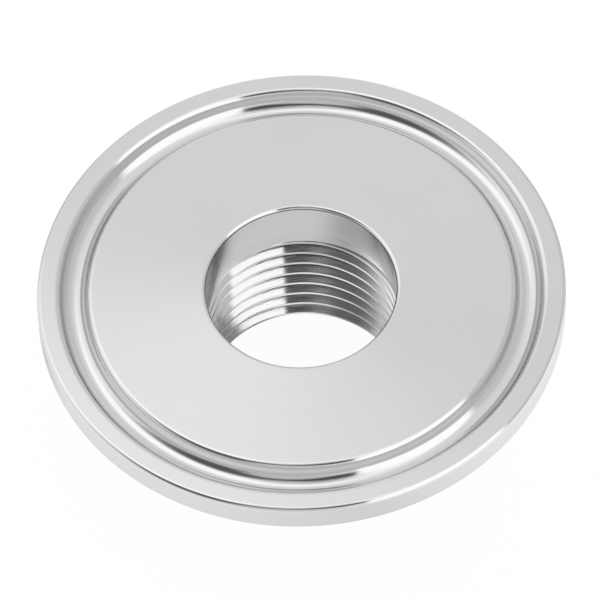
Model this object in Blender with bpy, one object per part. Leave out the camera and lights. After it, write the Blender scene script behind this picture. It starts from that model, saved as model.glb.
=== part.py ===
"""Sanitary clamp adapter with an internal taper pipe thread, turned from one piece of stainless bar.

Units are metres. The bore runs along Z, the hub end stands on z = 0 and the sealing face looks up.
"""

import math

import bmesh
import bpy
from mathutils import Vector

# Clamp flange: a 1.5 inch hygienic clamp end
OVERALL_HEIGHT = 0.01905
FLANGE_DIAMETER = 0.0505
FLANGE_EDGE_HEIGHT = 0.00285
FLANGE_BACK_ANGLE = math.radians(20)
RIM_EDGE_RADIUS = 0.00041
BACK_EDGE_RADIUS = 0.00015

# Gasket groove: two straight walls with one round root between them, its middle this far in from the rim
GROOVE_INSET = 0.0035
GROOVE_DEPTH = 0.0015
GROOVE_ROOT_RADIUS = 0.00125
GROOVE_WALL_ANGLE = math.radians(22)
GROOVE_EDGE_RADIUS = 0.0005

# Hub behind the flange, with this much wall outside the thread's root at the hub end
HUB_WALL = 0.0032
HUB_CHAMFER = 0.001
HUB_FILLET_RADIUS = 0.0015

# Bore: plain below the sealing face, then threaded down to the hub end
BORE_DIAMETER = 0.01826
MOUTH_EDGE_RADIUS = 0.00035
COUNTERSINK_WIDTH = 0.0013
COUNTERSINK_DEPTH = 0.00065

# Right-hand half inch taper pipe thread, 14 turns to the inch, widening towards the hub end
THREAD_PITCH = 0.0254 / 14
THREAD_LENGTH = 0.01355
THREAD_TAPER = 1 / 32
THREAD_ROOT_FLAT = 0.00008
THREAD_CREST_FLAT = 0.00028
THREAD_FLANK_ANGLE = math.radians(30)

# Where the thread tool leaves the wall, this far above the taper, and the share of a turn it fades over
RUNOUT_RISE = 0.0006
RUNOUT_ANGLE = math.radians(97.5)
RUNOUT_TURNS = 0.27
TOOL_CLEARANCE = 0.00015

# Facets of the round surfaces
TURN_STEPS = 72
THREAD_STEPS = 36
ARC_STEP = math.radians(24)

STEEL_COLOUR = (0.66, 0.66, 0.66, 1.0)
STEEL_ROUGHNESS = 0.22


def clear_scene():
    for obj in list(bpy.data.objects):
        bpy.data.objects.remove(obj, do_unlink=True)


def stainless_steel():
    material = bpy.data.materials.new("stainless_steel")
    material.use_nodes = True
    shader = material.node_tree.nodes["Principled BSDF"]
    shader.inputs["Base Color"].default_value = STEEL_COLOUR
    shader.inputs["Metallic"].default_value = 1.0
    shader.inputs["Roughness"].default_value = STEEL_ROUGHNESS
    return material


def crest_radius(z):
    """Radius of the hole that the thread is cut in, a taper that meets the plain bore at the thread's top."""
    return BORE_DIAMETER / 2 + (THREAD_LENGTH - z) * THREAD_TAPER


def thread_depth():
    """Depth at which the two flanks leave the flats at the crest and at the root their widths."""
    flank_rise = THREAD_PITCH - THREAD_CREST_FLAT - THREAD_ROOT_FLAT
    return flank_rise / (2 * math.tan(THREAD_FLANK_ANGLE))


def fillet_arc(before, corner, after, radius):
    """Points of the arc that rounds a corner of the section, from one tangent point to the other."""
    to_before = (before - corner).normalized()
    to_after = (after - corner).normalized()
    half_angle = to_before.angle(to_after) / 2
    bisector = (to_before + to_after).normalized()
    centre = corner + bisector * (radius / math.sin(half_angle))
    start = corner + to_before * (radius / math.tan(half_angle)) - centre
    turn = math.pi - 2 * half_angle
    side = start.x * bisector.y - start.y * bisector.x
    steps = max(2, math.ceil(turn / ARC_STEP))
    points = []
    for step in range(steps + 1):
        angle = -math.copysign(turn, side) * step / steps
        x = start.x * math.cos(angle) - start.y * math.sin(angle)
        y = start.x * math.sin(angle) + start.y * math.cos(angle)
        points.append(centre + Vector((x, y)))
    return points


def rounded_outline(corners):
    """Closed outline through (radius, height, fillet radius) corners, with each fillet as an arc."""
    outline = []
    for index, (x, y, radius) in enumerate(corners):
        corner = Vector((x, y))
        if not radius:
            outline.append(corner)
            continue
        before = Vector(corners[index - 1][:2])
        after = Vector(corners[(index + 1) % len(corners)][:2])
        outline += fillet_arc(before, corner, after, radius)
    return outline


def body_corners():
    """Corners of the half section, out along the rim, down the outside and up through the bore."""
    flange_radius = FLANGE_DIAMETER / 2
    hub_radius = crest_radius(0) + thread_depth() + HUB_WALL
    groove_radius = flange_radius - GROOVE_INSET
    flange_bottom = OVERALL_HEIGHT - FLANGE_EDGE_HEIGHT
    hub_top = flange_bottom - (flange_radius - hub_radius) * math.tan(FLANGE_BACK_ANGLE)
    # The two groove walls would meet at this depth if the root were sharp
    apex_depth = GROOVE_DEPTH + GROOVE_ROOT_RADIUS * (1 / math.sin(GROOVE_WALL_ANGLE) - 1)
    groove_half_width = apex_depth * math.tan(GROOVE_WALL_ANGLE)
    return [
        (groove_radius + groove_half_width, OVERALL_HEIGHT, GROOVE_EDGE_RADIUS),
        (flange_radius, OVERALL_HEIGHT, RIM_EDGE_RADIUS),
        (flange_radius, flange_bottom, BACK_EDGE_RADIUS),
        (hub_radius, hub_top, HUB_FILLET_RADIUS),
        (hub_radius, HUB_CHAMFER, 0),
        (hub_radius - HUB_CHAMFER, 0, 0),
        (crest_radius(0) + COUNTERSINK_WIDTH, 0, 0),
        (crest_radius(COUNTERSINK_DEPTH), COUNTERSINK_DEPTH, 0),
        (crest_radius(THREAD_LENGTH), THREAD_LENGTH, 0),
        (BORE_DIAMETER / 2, OVERALL_HEIGHT, MOUTH_EDGE_RADIUS),
        (groove_radius - groove_half_width, OVERALL_HEIGHT, GROOVE_EDGE_RADIUS),
        (groove_radius, OVERALL_HEIGHT - apex_depth, GROOVE_ROOT_RADIUS),
    ]


def turned(name, outline):
    """Object made by turning a closed outline once round Z."""
    points = [(point.x, 0, point.y) for point in outline]
    edges = [(index, (index + 1) % len(points)) for index in range(len(points))]
    mesh = bpy.data.meshes.new(name)
    mesh.from_pydata(points, edges, [])
    obj = bpy.data.objects.new(name, mesh)
    bpy.context.collection.objects.link(obj)
    screw = obj.modifiers.new("turn", "SCREW")
    screw.axis = "Z"
    screw.angle = 2 * math.pi
    screw.steps = TURN_STEPS
    screw.render_steps = TURN_STEPS
    screw.use_merge_vertices = True
    screw.merge_threshold = 1e-6
    screw.use_smooth_shade = True
    return obj


def thread_section(turns):
    """Corners (radius, height) of the thread tool's section, this many turns below the run-out."""
    height = THREAD_LENGTH + RUNOUT_RISE - turns * THREAD_PITCH
    bite = min(1, turns / RUNOUT_TURNS) ** 2
    inner_radius = crest_radius(height) - TOOL_CLEARANCE
    tool_length = TOOL_CLEARANCE / 2 + (TOOL_CLEARANCE / 2 + thread_depth()) * bite
    tip = THREAD_ROOT_FLAT / 2
    base = tip + tool_length * math.tan(THREAD_FLANK_ANGLE)
    return [
        (inner_radius, height + base),
        (inner_radius + tool_length, height + tip),
        (inner_radius + tool_length, height - tip),
        (inner_radius, height - base),
    ]


def thread_cutter():
    """Solid that the thread tool sweeps along its helix, from the run-out to one turn past the hub end."""
    turns = (THREAD_LENGTH + RUNOUT_RISE) / THREAD_PITCH + 1
    steps = math.ceil(turns * THREAD_STEPS)
    solid = bmesh.new()
    sections = []
    for step in range(steps + 1):
        angle = RUNOUT_ANGLE - 2 * math.pi * step / THREAD_STEPS
        corners = thread_section(step / THREAD_STEPS)
        ring = [solid.verts.new((r * math.cos(angle), r * math.sin(angle), z)) for r, z in corners]
        sections.append(ring)
    for upper, lower in zip(sections, sections[1:]):
        for side in range(4):
            after = (side + 1) % 4
            solid.faces.new((upper[side], upper[after], lower[after], lower[side]))
    solid.faces.new(sections[0])
    solid.faces.new(sections[-1])
    bmesh.ops.recalc_face_normals(solid, faces=solid.faces)
    mesh = bpy.data.meshes.new("thread_cutter")
    solid.to_mesh(mesh)
    solid.free()
    cutter = bpy.data.objects.new("thread_cutter", mesh)
    bpy.context.collection.objects.link(cutter)
    cutter.hide_render = True
    cutter.display_type = "WIRE"
    return cutter


def adapter_body():
    body = turned("adapter_body", rounded_outline(body_corners()))
    body.data.materials.append(stainless_steel())
    cut = body.modifiers.new("thread", "BOOLEAN")
    cut.operation = "DIFFERENCE"
    cut.solver = "EXACT"
    cut.object = thread_cutter()
    return body


clear_scene()
adapter_body()
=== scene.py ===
"""Looks of the sanitary clamp adapter: its fine turned surfaces, studio and camera, in metres."""

import math

import bpy
from mathutils import Matrix, Vector


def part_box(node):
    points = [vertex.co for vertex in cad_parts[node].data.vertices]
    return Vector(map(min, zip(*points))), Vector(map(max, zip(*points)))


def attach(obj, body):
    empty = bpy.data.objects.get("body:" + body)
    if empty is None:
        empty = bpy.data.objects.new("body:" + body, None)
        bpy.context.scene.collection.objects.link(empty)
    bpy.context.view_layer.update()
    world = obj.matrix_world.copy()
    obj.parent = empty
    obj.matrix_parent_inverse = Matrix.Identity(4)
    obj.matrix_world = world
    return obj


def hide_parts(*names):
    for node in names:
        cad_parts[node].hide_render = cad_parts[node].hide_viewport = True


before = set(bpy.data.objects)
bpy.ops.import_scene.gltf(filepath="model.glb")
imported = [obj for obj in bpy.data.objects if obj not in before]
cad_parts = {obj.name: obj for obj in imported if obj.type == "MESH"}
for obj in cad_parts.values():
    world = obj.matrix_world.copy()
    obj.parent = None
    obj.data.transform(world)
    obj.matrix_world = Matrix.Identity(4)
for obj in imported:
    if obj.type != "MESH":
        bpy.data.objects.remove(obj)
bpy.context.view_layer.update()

# Overall sizes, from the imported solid
FLANGE_RADIUS, _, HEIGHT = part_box("adapter_body")[1]

# Clamp flange and gasket groove
FLANGE_EDGE_HEIGHT = 0.00285
FLANGE_BACK_ANGLE = math.radians(20)
RIM_EDGE_RADIUS = 0.00041
BACK_EDGE_RADIUS = 0.00015
GROOVE_INSET = 0.0035
GROOVE_DEPTH = 0.0015
GROOVE_ROOT_RADIUS = 0.00125
GROOVE_WALL_ANGLE = math.radians(22)
GROOVE_EDGE_RADIUS = 0.0005

# Hub, with this much wall outside the thread's root at its end
HUB_WALL = 0.0032
HUB_CHAMFER = 0.001
HUB_CHAMFER_EDGE_RADIUS = 0.0001
HUB_FILLET_RADIUS = 0.0015

# Bore, countersink and right-hand taper pipe thread
BORE_RADIUS = 0.00913
MOUTH_EDGE_RADIUS = 0.00035
COUNTERSINK_WIDTH = 0.0013
COUNTERSINK_DEPTH = 0.00015
THREAD_PITCH = 0.0254 / 14
THREAD_LENGTH = 0.01355
THREAD_TAPER = 1 / 32
THREAD_ROOT_FLAT = 0.00008
THREAD_CREST_FLAT = 0.00028
THREAD_FLANK_ANGLE = math.radians(30)
THREAD_DEPTH = (THREAD_PITCH - THREAD_CREST_FLAT - THREAD_ROOT_FLAT) / (2 * math.tan(THREAD_FLANK_ANGLE))
THREAD_EDGE_BREAK = 0.00001
PLAIN_BORE_START = 0.0152

# The thread's last groove starts here, this far above the taper. Its floor sinks to full depth over this
# many turns, first slowly and then faster
RUNOUT_ANGLE = math.radians(140)
RUNOUT_RISE = 0.000814
RUNOUT_HEIGHT = THREAD_LENGTH + RUNOUT_RISE
RUNOUT_TURNS = 1.0
RUNOUT_POWER = 1.5

# The mesh rows of a shallower groove are spaced as for this depth
SHALLOWEST_ROWS = 0.0001

# Fineness of the mesh
COLUMNS = 360
ARC_STEP = math.radians(9)
FEWEST_ARC_STEPS = 3
EDGE_LOOP_INSET = 0.00004
FLANK_STATIONS = (0.22, 0.44)
CREST_STATIONS = (0.5,)
SHARP_ANGLE = math.radians(40)


def crest_radius(z):
    """Radius of the tapered hole that the thread is cut in, which runs into the plain bore."""
    return BORE_RADIUS + max(0, THREAD_LENGTH - z) * THREAD_TAPER


def countersink_radius(z):
    """Radius of the countersink's cone, which ends on the crest line."""
    mouth_radius = crest_radius(0) + COUNTERSINK_WIDTH
    return mouth_radius + (crest_radius(COUNTERSINK_DEPTH) - mouth_radius) * z / COUNTERSINK_DEPTH


def floor_depth(turns):
    """Depth of the thread groove's floor, this many turns below the run-out's start."""
    return THREAD_DEPTH * min(1, max(0, turns) / RUNOUT_TURNS) ** RUNOUT_POWER


def fillet_arc(before, corner, after, radius):
    """Points of the arc that rounds a corner of the section, from one tangent point to the other."""
    to_before = (before - corner).normalized()
    to_after = (after - corner).normalized()
    half_angle = to_before.angle(to_after) / 2
    bisector = (to_before + to_after).normalized()
    centre = corner + bisector * (radius / math.sin(half_angle))
    start = corner + to_before * (radius / math.tan(half_angle)) - centre
    turn = math.pi - 2 * half_angle
    side = start.x * bisector.y - start.y * bisector.x
    steps = max(FEWEST_ARC_STEPS, math.ceil(turn / ARC_STEP))
    points = []
    for step in range(steps + 1):
        angle = -math.copysign(turn, side) * step / steps
        x = start.x * math.cos(angle) - start.y * math.sin(angle)
        y = start.x * math.sin(angle) + start.y * math.cos(angle)
        points.append(centre + Vector((x, y)))
    return points


def section_corners():
    """Corners of the turned section from the bore to the hub end: radius, height, rounding, and
    the finish of the rounding and of the run that follows it."""
    flange_bottom = HEIGHT - FLANGE_EDGE_HEIGHT
    hub_radius = crest_radius(0) + THREAD_DEPTH + HUB_WALL
    hub_top = flange_bottom - (FLANGE_RADIUS - hub_radius) * math.tan(FLANGE_BACK_ANGLE)
    groove_radius = FLANGE_RADIUS - GROOVE_INSET
    apex_depth = GROOVE_DEPTH + GROOVE_ROOT_RADIUS * (1 / math.sin(GROOVE_WALL_ANGLE) - 1)
    half_width = apex_depth * math.tan(GROOVE_WALL_ANGLE)
    return [
        (crest_radius(PLAIN_BORE_START), PLAIN_BORE_START, 0, "bore", "bore"),
        (BORE_RADIUS, HEIGHT, MOUTH_EDGE_RADIUS, "polished", "face"),
        (groove_radius - half_width, HEIGHT, GROOVE_EDGE_RADIUS, "polished", "polished"),
        (groove_radius, HEIGHT - apex_depth, GROOVE_ROOT_RADIUS, "polished", "polished"),
        (groove_radius + half_width, HEIGHT, GROOVE_EDGE_RADIUS, "polished", "face"),
        (FLANGE_RADIUS, HEIGHT, RIM_EDGE_RADIUS, "polished", "side"),
        (FLANGE_RADIUS, flange_bottom, BACK_EDGE_RADIUS, "side", "side"),
        (hub_radius, hub_top, HUB_FILLET_RADIUS, "side", "side"),
        (hub_radius, HUB_CHAMFER, HUB_CHAMFER_EDGE_RADIUS, "side", "side"),
        (hub_radius - HUB_CHAMFER, 0, HUB_CHAMFER_EDGE_RADIUS, "side", "side"),
        (countersink_radius(0), 0, 0, "side", "side"),
    ]


def section_points():
    """Points (radius, height) of the section, each with the finish of the run that follows it."""
    corners = section_corners()
    points = []
    for index, (radius, height, rounding, arc_finish, run_finish) in enumerate(corners):
        here = Vector((radius, height))
        if not rounding:
            points.append((here, run_finish))
            continue
        before = Vector(corners[index - 1][:2])
        after = Vector(corners[index + 1][:2])
        arc = fillet_arc(before, here, after, rounding)
        # A loop close to each end of the rounding keeps its shading off the flat run beside it
        points.append((arc[0] + (before - arc[0]).normalized() * EDGE_LOOP_INSET, points[-1][1]))
        points += [(point, arc_finish) for point in arc[:-1]]
        points.append((arc[-1], run_finish))
        points.append((arc[-1] + (after - arc[-1]).normalized() * EDGE_LOOP_INSET, run_finish))
    return points


class Wall:
    """Vertices and faces of the turned mesh, gathered ring by ring."""

    def __init__(self):
        self.points = []
        self.faces = []
        self.finishes = []
        self.creases = set()

    def add(self, radius, angle, height):
        self.points.append((radius * math.cos(angle), radius * math.sin(angle), height))
        return len(self.points) - 1

    def ring(self, radius_at, height):
        return [self.add(radius_at(angle), angle, height) for angle in column_angles()]

    def face(self, corners, finish):
        """Keeps a face unless the ends of a clamped row leave it no area."""
        kept = [corner for index, corner in enumerate(corners) if corner != corners[index - 1]]
        if len(kept) > 2:
            self.faces.append(kept)
            self.finishes.append(finish)

    def bridge(self, inner, outer, finish):
        """Faces between two rings, the second further along the section."""
        for column in range(COLUMNS):
            after = (column + 1) % COLUMNS
            self.face([inner[column], inner[after], outer[after], outer[column]], finish)


def column_angles():
    """Angle of each column, going down the helix from the thread's run-out."""
    return [RUNOUT_ANGLE - 2 * math.pi * column / COLUMNS for column in range(COLUMNS)]


def turned_wall(wall):
    """Everything but the thread. Returns the rings that it joins, in the bore and at the hub end."""
    points = section_points()
    rings = [wall.ring(lambda angle, radius=point.x: radius, point.y) for point, _ in points]
    for index in range(len(points) - 1):
        wall.bridge(rings[index], rings[index + 1], points[index][1])
    return rings[0], rings[-1]


def thread_radius(turns, offset, height):
    """Radius of the wall at this offset from the thread groove's middle."""
    flank_depth = THREAD_DEPTH - (abs(offset) - THREAD_ROOT_FLAT / 2) / math.tan(THREAD_FLANK_ANGLE)
    return crest_radius(height) + max(0, min(floor_depth(turns), flank_depth))


def thread_stations(turns):
    """Offsets of the mesh rows from the groove's middle, from this groove's top edge to the next one's."""
    flank_slope = math.tan(THREAD_FLANK_ANGLE)
    half_width = THREAD_ROOT_FLAT / 2 + THREAD_DEPTH * flank_slope
    floor_edge = half_width - max(SHALLOWEST_ROWS, floor_depth(turns)) * flank_slope
    down = [half_width + THREAD_EDGE_BREAK, half_width - THREAD_EDGE_BREAK]
    down += [floor_edge + (half_width - floor_edge) * share for share in reversed(FLANK_STATIONS)]
    down.append(floor_edge)
    across = down + [-offset for offset in reversed(down)]
    lower_edge, next_top = across[-1], across[0] - THREAD_PITCH
    return across + [lower_edge + (next_top - lower_edge) * share for share in CREST_STATIONS]


def thread_wall(wall, top_ring, bottom_ring, top, bottom, radius_limit):
    """Thread between two heights, in rows that follow the helix and stop at the rings. The wall's radius
    is nowhere less than radius_limit gives for its height."""
    # The rows start a little above the top and end a little below the bottom, and are clamped to the rings
    turn_count = math.ceil((RUNOUT_HEIGHT - bottom) / THREAD_PITCH) + 1
    first_turn = -math.ceil((top - RUNOUT_HEIGHT) / THREAD_PITCH) - 2
    columns = []
    for column, angle in enumerate(column_angles()):
        rows = []
        for turn in range(first_turn, turn_count):
            turns = turn + column / COLUMNS
            middle = RUNOUT_HEIGHT - turns * THREAD_PITCH
            for offset in thread_stations(turns):
                height = middle + offset
                if height >= top:
                    rows.append(top_ring[column])
                elif height <= bottom:
                    rows.append(bottom_ring[column])
                else:
                    radius = max(thread_radius(turns, offset, height), radius_limit(height))
                    rows.append(wall.add(radius, angle, height))
        columns.append(rows)
    # One turn further down, the last column meets the first
    rows_per_turn = len(thread_stations(0))
    rows_above_thread = -first_turn * rows_per_turn
    columns.append(columns[0][rows_per_turn:] + [bottom_ring[0]] * rows_per_turn)
    for column in range(COLUMNS):
        left, right = columns[column], columns[column + 1]
        for row in range(len(left) - 1):
            corners = [left[row], left[row + 1], right[row + 1], right[row]]
            wall.face(corners, "bore" if row < rows_above_thread else "thread")
            wall.creases.add(frozenset((left[row], right[row])))


def nearest_thread(angle, height):
    """Radius of the thread at any place, used for the ring where the countersink starts."""
    below = (RUNOUT_ANGLE - angle) / (2 * math.pi)
    turn = round((RUNOUT_HEIGHT - height) / THREAD_PITCH - below)
    turns = turn + below
    return thread_radius(turns, height - RUNOUT_HEIGHT + turns * THREAD_PITCH, height)


def adapter_mesh(materials):
    wall = Wall()
    top_ring, end_ring = turned_wall(wall)
    sink_ring = wall.ring(lambda angle: nearest_thread(angle, COUNTERSINK_DEPTH), COUNTERSINK_DEPTH)
    thread_wall(wall, top_ring, sink_ring, PLAIN_BORE_START, COUNTERSINK_DEPTH, crest_radius)
    thread_wall(wall, sink_ring, end_ring, COUNTERSINK_DEPTH, 0, countersink_radius)
    mesh = bpy.data.meshes.new("turned_adapter")
    mesh.from_pydata(wall.points, [], wall.faces)
    finishes = list(materials)
    for finish in finishes:
        mesh.materials.append(materials[finish])
    for polygon, finish in zip(mesh.polygons, wall.finishes):
        polygon.material_index = finishes.index(finish)
    mesh.shade_smooth()
    mesh.set_sharp_from_angle(angle=SHARP_ANGLE)
    for edge in mesh.edges:
        if frozenset(edge.vertices) in wall.creases:
            edge.use_edge_sharp = True
    return mesh


# Studio: the camera stands where the photograph was taken from
CAMERA_ELEVATION = math.radians(55.54)
CAMERA_DISTANCE = 0.541
CAMERA_ROLL = math.radians(2.74)
PIXELS_PER_METRE = 10484.8
IMAGE_SIZE = 600
FACE_CENTRE_PIXEL = (300.96, 286.37)
SENSOR_WIDTH = 36.0


def add_camera():
    """Camera that puts the middle of the sealing face on its pixel of the photograph."""
    focal_pixels = PIXELS_PER_METRE * CAMERA_DISTANCE
    aim = Vector((0, 0, HEIGHT))
    back = Vector((0, -math.cos(CAMERA_ELEVATION), math.sin(CAMERA_ELEVATION)))
    level = Matrix((Vector((1, 0, 0)), back.cross(Vector((1, 0, 0))), back)).transposed()
    turned = level @ Matrix.Rotation(-CAMERA_ROLL, 3, "Z")
    off_right = (FACE_CENTRE_PIXEL[0] - IMAGE_SIZE / 2) / focal_pixels
    off_up = (IMAGE_SIZE / 2 - FACE_CENTRE_PIXEL[1]) / focal_pixels
    swing = Matrix.Rotation(math.atan(off_right), 3, "Y") @ Matrix.Rotation(-math.atan(off_up), 3, "X")
    data = bpy.data.cameras.new("camera")
    data.sensor_width = SENSOR_WIDTH
    data.lens = SENSOR_WIDTH * focal_pixels / IMAGE_SIZE
    camera = bpy.data.objects.new("camera", data)
    camera.matrix_world = Matrix.Translation(aim + back * CAMERA_DISTANCE) @ (turned @ swing).to_4x4()
    bpy.context.collection.objects.link(camera)
    bpy.context.scene.camera = camera


class Graph:
    """Adds nodes to a node tree, each call giving back the output socket that the next one takes."""

    def __init__(self, owner):
        owner.use_nodes = True
        self.tree = owner.node_tree
        self.tree.nodes.clear()

    def node(self, kind, values=(), **settings):
        """New node with these settings. Values go to its inputs: sockets are linked, the rest are set."""
        made = self.tree.nodes.new(kind)
        for setting, value in settings.items():
            setattr(made, setting, value)
        for key, value in dict(values).items():
            if isinstance(value, bpy.types.NodeSocket):
                self.tree.links.new(value, made.inputs[key])
            else:
                made.inputs[key].default_value = value
        return made

    def math(self, operation, *values):
        return self.node("ShaderNodeMath", enumerate(values), operation=operation).outputs[0]

    def vector(self, operation, *values):
        return self.node("ShaderNodeVectorMath", enumerate(values), operation=operation).outputs["Vector"]

    def scaled(self, vector, factor):
        values = {0: vector, "Scale": factor}
        return self.node("ShaderNodeVectorMath", values, operation="SCALE").outputs["Vector"]

    def dot(self, vector, axis):
        node = self.node("ShaderNodeVectorMath", {0: vector, 1: axis}, operation="DOT_PRODUCT")
        return node.outputs["Value"]

    def distance(self, place, centre):
        node = self.node("ShaderNodeVectorMath", {0: place, 1: centre}, operation="DISTANCE")
        return node.outputs["Value"]

    def smooth_step(self, value, start, end):
        """0 at start, 1 at end, with a smooth rise between."""
        values = {"Value": value, "From Min": start, "From Max": end}
        return self.node("ShaderNodeMapRange", values, interpolation_type="SMOOTHSTEP").outputs["Result"]

    def noise(self, place, scale, detail):
        values = {"Vector": place, "Scale": scale, "Detail": detail}
        return self.node("ShaderNodeTexNoise", values).outputs[0]

    def span(self, value, start, end, low, high):
        """Value carried in proportion from start..end to low..high, and held there."""
        values = {"Value": value, "From Min": start, "From Max": end, "To Min": low, "To Max": high}
        return self.node("ShaderNodeMapRange", values).outputs["Result"]

    def mix(self, share, first, second):
        values = {0: share, 2: first, 3: second}
        return self.node("ShaderNodeMix", values, data_type="FLOAT").outputs[0]


# Steel colour: a little brighter in the bore as painted light, darker on face and thread as painted shade
STEEL_COLOUR = (0.66, 0.66, 0.66, 1)
FACE_PAINTED_SHADE_COLOUR = (0.63, 0.63, 0.63, 1)
BORE_PAINTED_LIGHT_COLOUR = (0.69, 0.69, 0.69, 1)
THREAD_PAINTED_SHADE_COLOUR = (0.64, 0.64, 0.64, 1)

# Tool marks run round the axis. Each layer of marks has a width in metres, and its own share of the relief.
# A slow noise shifts them by up to their wander, so that they aren't the same all the way round
MARK_WIDTHS = ((0.00009, 0.5), (0.0003, 0.5))
MARK_DETAIL = 1
MARK_WANDER = 0.0002
WANDERS_PER_METRE = 45

# Clouds from handling. Marks and clouds make the roughness uneven, and clouds alone dim the colour.
# Nearly all values of a noise lie within its span
CLOUDS_PER_METRE = 140
CLOUD_DETAIL = 3
MARK_SHARE = 0.6
ROUGHNESS_VARIATION = 0.15
DIMMEST_CLOUD = 0.985
NOISE_SPAN = (0.3, 0.7)

# The facing cut's lopsided ridges tilt the sealing face's shading outwards by this much
FACE_LEAN = 0.05

# Share of a turn that lays the stretched highlight across the marks
HIGHLIGHT_TURN = 0.25


def height_on_helix(graph, parts):
    """Height above the middle of the crest below, along the thread, in metres. It wraps on the crests."""
    angle = graph.math("ARCTAN2", parts[1], parts[0])
    turn = graph.math("DIVIDE", graph.math("SUBTRACT", angle, RUNOUT_ANGLE), 2 * math.pi)
    rise = graph.math("DIVIDE", graph.math("SUBTRACT", parts[2], RUNOUT_HEIGHT), THREAD_PITCH)
    share = graph.math("FRACT", graph.math("ADD", graph.math("ADD", rise, turn), 0.5))
    return graph.math("MULTIPLY", share, THREAD_PITCH)


def tool_marks(graph, place, helical):
    """Height of the marks, 0 to 1. They run in circles round the axis, or along the thread's helix."""
    parts = graph.node("ShaderNodeSeparateXYZ", {0: place}).outputs
    level = graph.node("ShaderNodeCombineXYZ", {0: parts[0], 1: parts[1]}).outputs[0]
    radius = graph.distance(level, (0, 0, 0))
    height = height_on_helix(graph, parts) if helical else parts[2]
    wander = graph.math("MULTIPLY", graph.noise(place, WANDERS_PER_METRE, MARK_DETAIL), MARK_WANDER)
    section = graph.node("ShaderNodeCombineXYZ", {0: radius, 1: height, 2: wander}).outputs[0]
    marks = 0.0
    for width, share in MARK_WIDTHS:
        layer = graph.noise(section, 1 / width, MARK_DETAIL)
        marks = graph.math("ADD", marks, graph.math("MULTIPLY", layer, share))
    return marks


def leaning(graph, normal, place, lean):
    """Surface normal tilted away from the axis."""
    outwards = graph.vector("NORMALIZE", graph.vector("MULTIPLY", place, (1, 1, 0)))
    spaces = {"vector_type": "NORMAL", "convert_from": "OBJECT", "convert_to": "WORLD"}
    outwards = graph.node("ShaderNodeVectorTransform", {0: outwards}, **spaces).outputs[0]
    return graph.vector("NORMALIZE", graph.vector("ADD", normal, graph.scaled(outwards, lean)))


def turned_steel(name, colour, roughness, anisotropy, relief, lean=0.0, helical=False):
    """Steel as a lathe leaves it: tool marks, roughness that varies a little with them, and faint clouds
    from handling. Relief is the depth of the marks in metres."""
    material = bpy.data.materials.new(name)
    graph = Graph(material)
    place = graph.node("ShaderNodeTexCoord").outputs["Object"]
    marks = tool_marks(graph, place, helical)
    clouds = graph.noise(place, CLOUDS_PER_METRE, CLOUD_DETAIL)
    smoothest = roughness * (1 - ROUGHNESS_VARIATION)
    roughest = roughness * (1 + ROUGHNESS_VARIATION)
    uneven = graph.mix(MARK_SHARE, clouds, marks)
    tint = graph.span(clouds, *NOISE_SPAN, DIMMEST_CLOUD, 1.0)
    normal = graph.node("ShaderNodeNewGeometry").outputs["Normal"]
    if lean:
        normal = leaning(graph, normal, place, lean)
    bump = {"Height": marks, "Distance": relief, "Strength": 1.0, "Normal": normal}
    values = {
        "Base Color": graph.scaled(colour[:3], tint),
        "Metallic": 1.0,
        "Roughness": graph.span(uneven, *NOISE_SPAN, smoothest, roughest),
        "Anisotropic": anisotropy,
        "Anisotropic Rotation": HIGHLIGHT_TURN,
        "Normal": graph.node("ShaderNodeBump", bump).outputs[0],
        "Tangent": graph.node("ShaderNodeTangent", direction_type="RADIAL", axis="Z").outputs[0],
    }
    shader = graph.node("ShaderNodeBsdfPrincipled", values)
    graph.node("ShaderNodeOutputMaterial", {"Surface": shader.outputs[0]})
    return material


# Studio seen by the metal: each panel covers the directions that lie inside all its edges, and a later
# panel hides an earlier one. An edge is a circle round a compass direction (0 is away from the camera, 90
# is to the right) and an elevation, in degrees, with the cosine that it runs at and its softness.
SKY_BRIGHTNESS = 0.97
PANELS = [
    ("left wall", 1.18, [(-66, 38, 0.88, 0.16)]),
    ("left overhead panel", 1.45, [(-52, 68, 0.93, 0.1)]),
    ("right overhead panel", 1.42, [(98, 77, 0.967, 0.06)]),
    ("gap overhead", 0.72, [(170, 86, 0.99, 0.03)]),
    ("right back wall", 0.78, [(78, 0, 0.45, 0.5), (0, -90, -0.88, 0.12)]),
    ("left back corner", 0.58, [(-32, 8, 0.955, 0.08)]),
    ("front wall", 0.76, [(205, 0, 0.8, 0.3)]),
    ("low front", 0.66, [(225, 8, 0.96, 0.08)]),
    ("grey doorway", 0.75, [(-103, 48, 0.97, 0.08)]),
    ("dark room on the left", 0.12, [(-138, 46, 0.905, 0.17)]),
    ("dark room on the right", 0.09, [(168, 54, 0.955, 0.07)]),
    ("pillar between the rooms", 0.74, [(191, 36, 0.968, 0.05)]),
    ("beam overhead", 0.45, [(166, 74, 0.9954, 0.006)]),
    ("softbox", 1.5, [
        (77.8, 0, 0.12, 0.01),
        (222.4, 0, -0.418, 0.06),
        (200, 0, -0.27, 0.05),
        (0, -90, -0.93, 0.03),
    ]),
]


def panel_mask(graph, direction, edges):
    """1 for the directions inside all the edges, 0 outside, with a smooth step across each edge."""
    mask = 1.0
    for azimuth, elevation, cosine, softness in edges:
        azimuth, elevation = math.radians(azimuth), math.radians(elevation)
        level = Vector((math.sin(azimuth), math.cos(azimuth), 0))
        axis = level * math.cos(elevation) + Vector((0, 0, math.sin(elevation)))
        along = graph.dot(direction, axis)
        inside = graph.smooth_step(along, cosine - softness / 2, cosine + softness / 2)
        mask = graph.math("MULTIPLY", mask, inside)
    return mask


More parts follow.
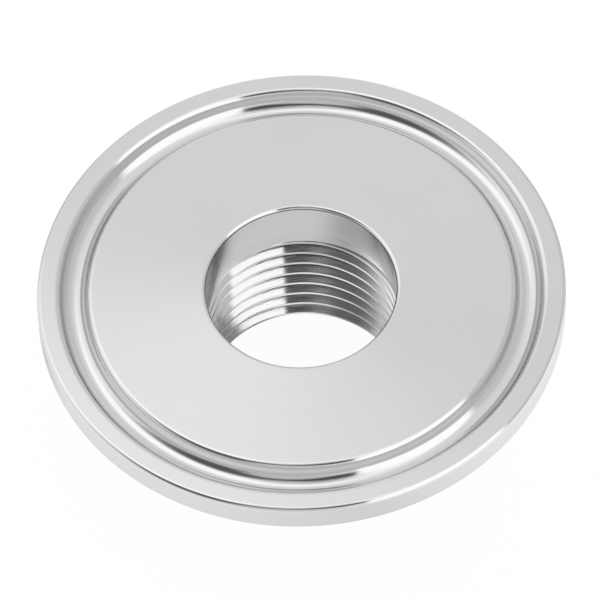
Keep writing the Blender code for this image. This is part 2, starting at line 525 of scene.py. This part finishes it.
def add_world():
    world = bpy.data.worlds.new("studio")
    graph = Graph(world)
    direction = graph.node("ShaderNodeTexCoord").outputs["Generated"]
    light = SKY_BRIGHTNESS
    for _, brightness, edges in PANELS:
        light = graph.mix(panel_mask(graph, direction, edges), light, brightness)
    studio = graph.node("ShaderNodeBackground", {"Color": (1, 1, 1, 1), "Strength": light})
    white = graph.node("ShaderNodeBackground", {"Color": (1, 1, 1, 1), "Strength": 1.0})
    seen = graph.node("ShaderNodeLightPath").outputs["Is Camera Ray"]
    both = graph.node("ShaderNodeMixShader", {0: seen, 1: studio.outputs[0], 2: white.outputs[0]})
    graph.node("ShaderNodeOutputWorld", {"Surface": both.outputs[0]})
    bpy.context.scene.world = world


# Floor. To the camera it is mostly a white glow, and the small rest is matt and takes the object's shadow
FLOOR_RADIUS = 1.5
FLOOR_SIDES = 8
FLOOR_COLOUR = (0.85, 0.85, 0.85, 1)
FLOOR_GLOW = 1.02
FLOOR_GLOW_TO_CAMERA = 0.94

# What the metal mirrors of the floor glows as a lit table would look: painted shadow below the flange and
# bright beyond it, with the radii between which that changes. To the right and to the left painted light
# brightens it from one place to another, with the factor at each
FLOOR_OPEN = 1.04
FLOOR_BELOW_FLANGE = 0.55
FLOOR_FLANGE_SPAN = (0.022, 0.034)
FLOOR_RIGHT = (0.012, 0.033, 0.95, 1.19)
FLOOR_LEFT = (0.012, -0.025, 0.95, 1.1)

# The part of the floor below the bore gets its own painted shadow, set apart from the rest
FLOOR_IN_BORE = 0.84
FLOOR_BORE_RADIUS = 0.012

# Painted spots of shadow or light on the floor: middle, even core's radius, radius where it ends, and
# strength
SPOTS_OUTSIDE = [
    ((-0.029, 0.0075, 0), 0.003, 0.011, 0.6),
    ((0.06, 0.055, 0), 0.03, 0.055, 0.3),
]
SPOTS_IN_BORE = [
    ((-0.0065, 0.0035, 0), 0.003, 0.0065, 0.56),
    ((-0.0042, 0.0088, 0), 0.0007, 0.0028, 0.45),
    ((0.0047, 0.0089, 0), 0.0007, 0.0028, 0.45),
    ((-0.0008, 0.0065, 0), 0.0015, 0.004, 1.5),
]


def with_spots(graph, light, place, spots):
    """Brightness with each spot's strength laid over it."""
    for middle, core, edge, strength in spots:
        spot = graph.span(graph.distance(place, middle), core, edge, strength, 1.0)
        light = graph.math("MULTIPLY", light, spot)
    return light


def floor_in_metal(graph):
    """Brightness of the floor as the metal mirrors it, with its painted shadows and painted light."""
    place = graph.node("ShaderNodeTexCoord").outputs["Object"]
    side = graph.node("ShaderNodeSeparateXYZ", {0: place}).outputs[0]
    radius = graph.distance(place, (0, 0, 0))
    sides = graph.math("MAXIMUM", graph.span(side, *FLOOR_RIGHT), graph.span(side, *FLOOR_LEFT))
    outside = graph.span(radius, *FLOOR_FLANGE_SPAN, FLOOR_BELOW_FLANGE, FLOOR_OPEN)
    outside = with_spots(graph, graph.math("MULTIPLY", outside, sides), place, SPOTS_OUTSIDE)
    inside = with_spots(graph, FLOOR_IN_BORE, place, SPOTS_IN_BORE)
    beyond_bore = graph.math("GREATER_THAN", radius, FLOOR_BORE_RADIUS)
    return graph.mix(beyond_bore, inside, outside)


def add_floor():
    """White floor that keeps a faint shadow and melts into the white background."""
    mesh = bpy.data.meshes.new("floor")
    turns = [2 * math.pi * side / FLOOR_SIDES for side in range(FLOOR_SIDES)]
    corners = [(FLOOR_RADIUS * math.cos(turn), FLOOR_RADIUS * math.sin(turn), 0) for turn in turns]
    mesh.from_pydata(corners, [], [range(FLOOR_SIDES)])
    material = bpy.data.materials.new("floor_white")
    graph = Graph(material)
    path = graph.node("ShaderNodeLightPath").outputs
    diffuse = graph.node("ShaderNodeBsdfDiffuse", {"Color": FLOOR_COLOUR})
    brightness = graph.mix(path["Is Glossy Ray"], FLOOR_GLOW, floor_in_metal(graph))
    glow = graph.node("ShaderNodeEmission", {"Color": (1, 1, 1, 1), "Strength": brightness})
    to_camera = graph.math("MULTIPLY", path["Is Camera Ray"], FLOOR_GLOW_TO_CAMERA)
    share = graph.math("ADD", to_camera, path["Is Glossy Ray"])
    both = graph.node("ShaderNodeMixShader", {0: share, 1: diffuse.outputs[0], 2: glow.outputs[0]})
    graph.node("ShaderNodeOutputMaterial", {"Surface": both.outputs[0]})
    mesh.materials.append(material)
    floor = bpy.data.objects.new("floor", mesh)
    bpy.context.collection.objects.link(floor)


# Finishes: colour, roughness, how far the highlight is stretched, and the depth of the marks in metres
materials = {
    "face": turned_steel("sealing_face_steel", FACE_PAINTED_SHADE_COLOUR, 0.24, 0.7, 2e-7, lean=FACE_LEAN),
    "polished": turned_steel("polished_groove_steel", STEEL_COLOUR, 0.12, 0.7, 1e-7),
    "side": turned_steel("turned_side_steel", STEEL_COLOUR, 0.26, 0.7, 1.5e-7),
    "bore": turned_steel("bore_steel", BORE_PAINTED_LIGHT_COLOUR, 0.2, 0.6, 1e-7),
    "thread": turned_steel("cut_thread_steel", THREAD_PAINTED_SHADE_COLOUR, 0.1, 0.85, 1.2e-5, helical=True),
}
adapter = bpy.data.objects.new("turned_adapter", adapter_mesh(materials))
bpy.context.collection.objects.link(adapter)
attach(adapter, "root")
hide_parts("adapter_body")

add_floor()
add_world()
add_camera()
bpy.context.scene.view_settings.view_transform = "Standard"
